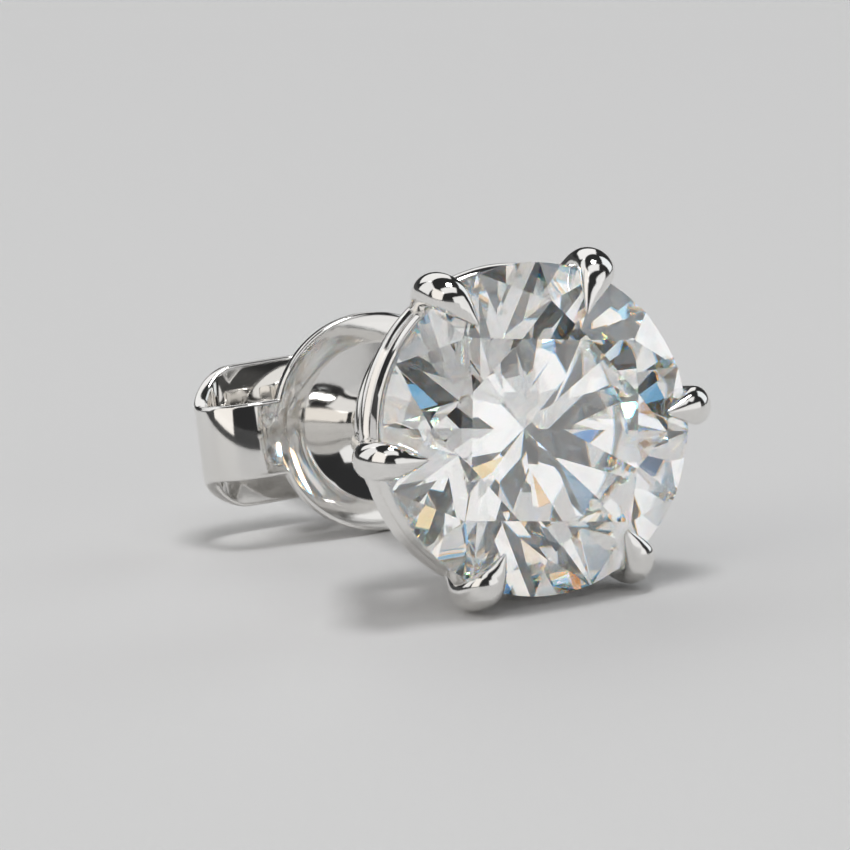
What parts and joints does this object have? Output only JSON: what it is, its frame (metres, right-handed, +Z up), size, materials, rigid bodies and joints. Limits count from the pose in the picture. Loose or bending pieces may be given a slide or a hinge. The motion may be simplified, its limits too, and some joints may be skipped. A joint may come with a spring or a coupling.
{
  "type": "stud earring",
  "caption": "Claw-set stud earring: a round brilliant stone in an open basket on a straight post, with a friction back.",
  "frame": {"origin": "middle of the footprint's bounding box, on the surface that the earring lies on", "axes": "+Z up, -Y the way the stone faces (it also looks about 8.5 degrees up), +X to the right as seen from behind the camera that looks along +Y"},
  "size_m": [0.0094, 0.0168, 0.0083],
  "materials": {
    "diamond": "colourless stone with polished facets",
    "white_gold": "bright polished white gold"
  },
  "bodies": {
    "earring": {"stone": "diamond", "setting": "white_gold"},
    "back": {"friction_back": "white_gold"}
  },
  "joints": [
    {"name": "back_slide", "type": "slide", "parent": "earring", "child": "back", "axis": [0, 0.9889, -0.1483], "range_m": [-0.0053, 0.006]}
  ]
}
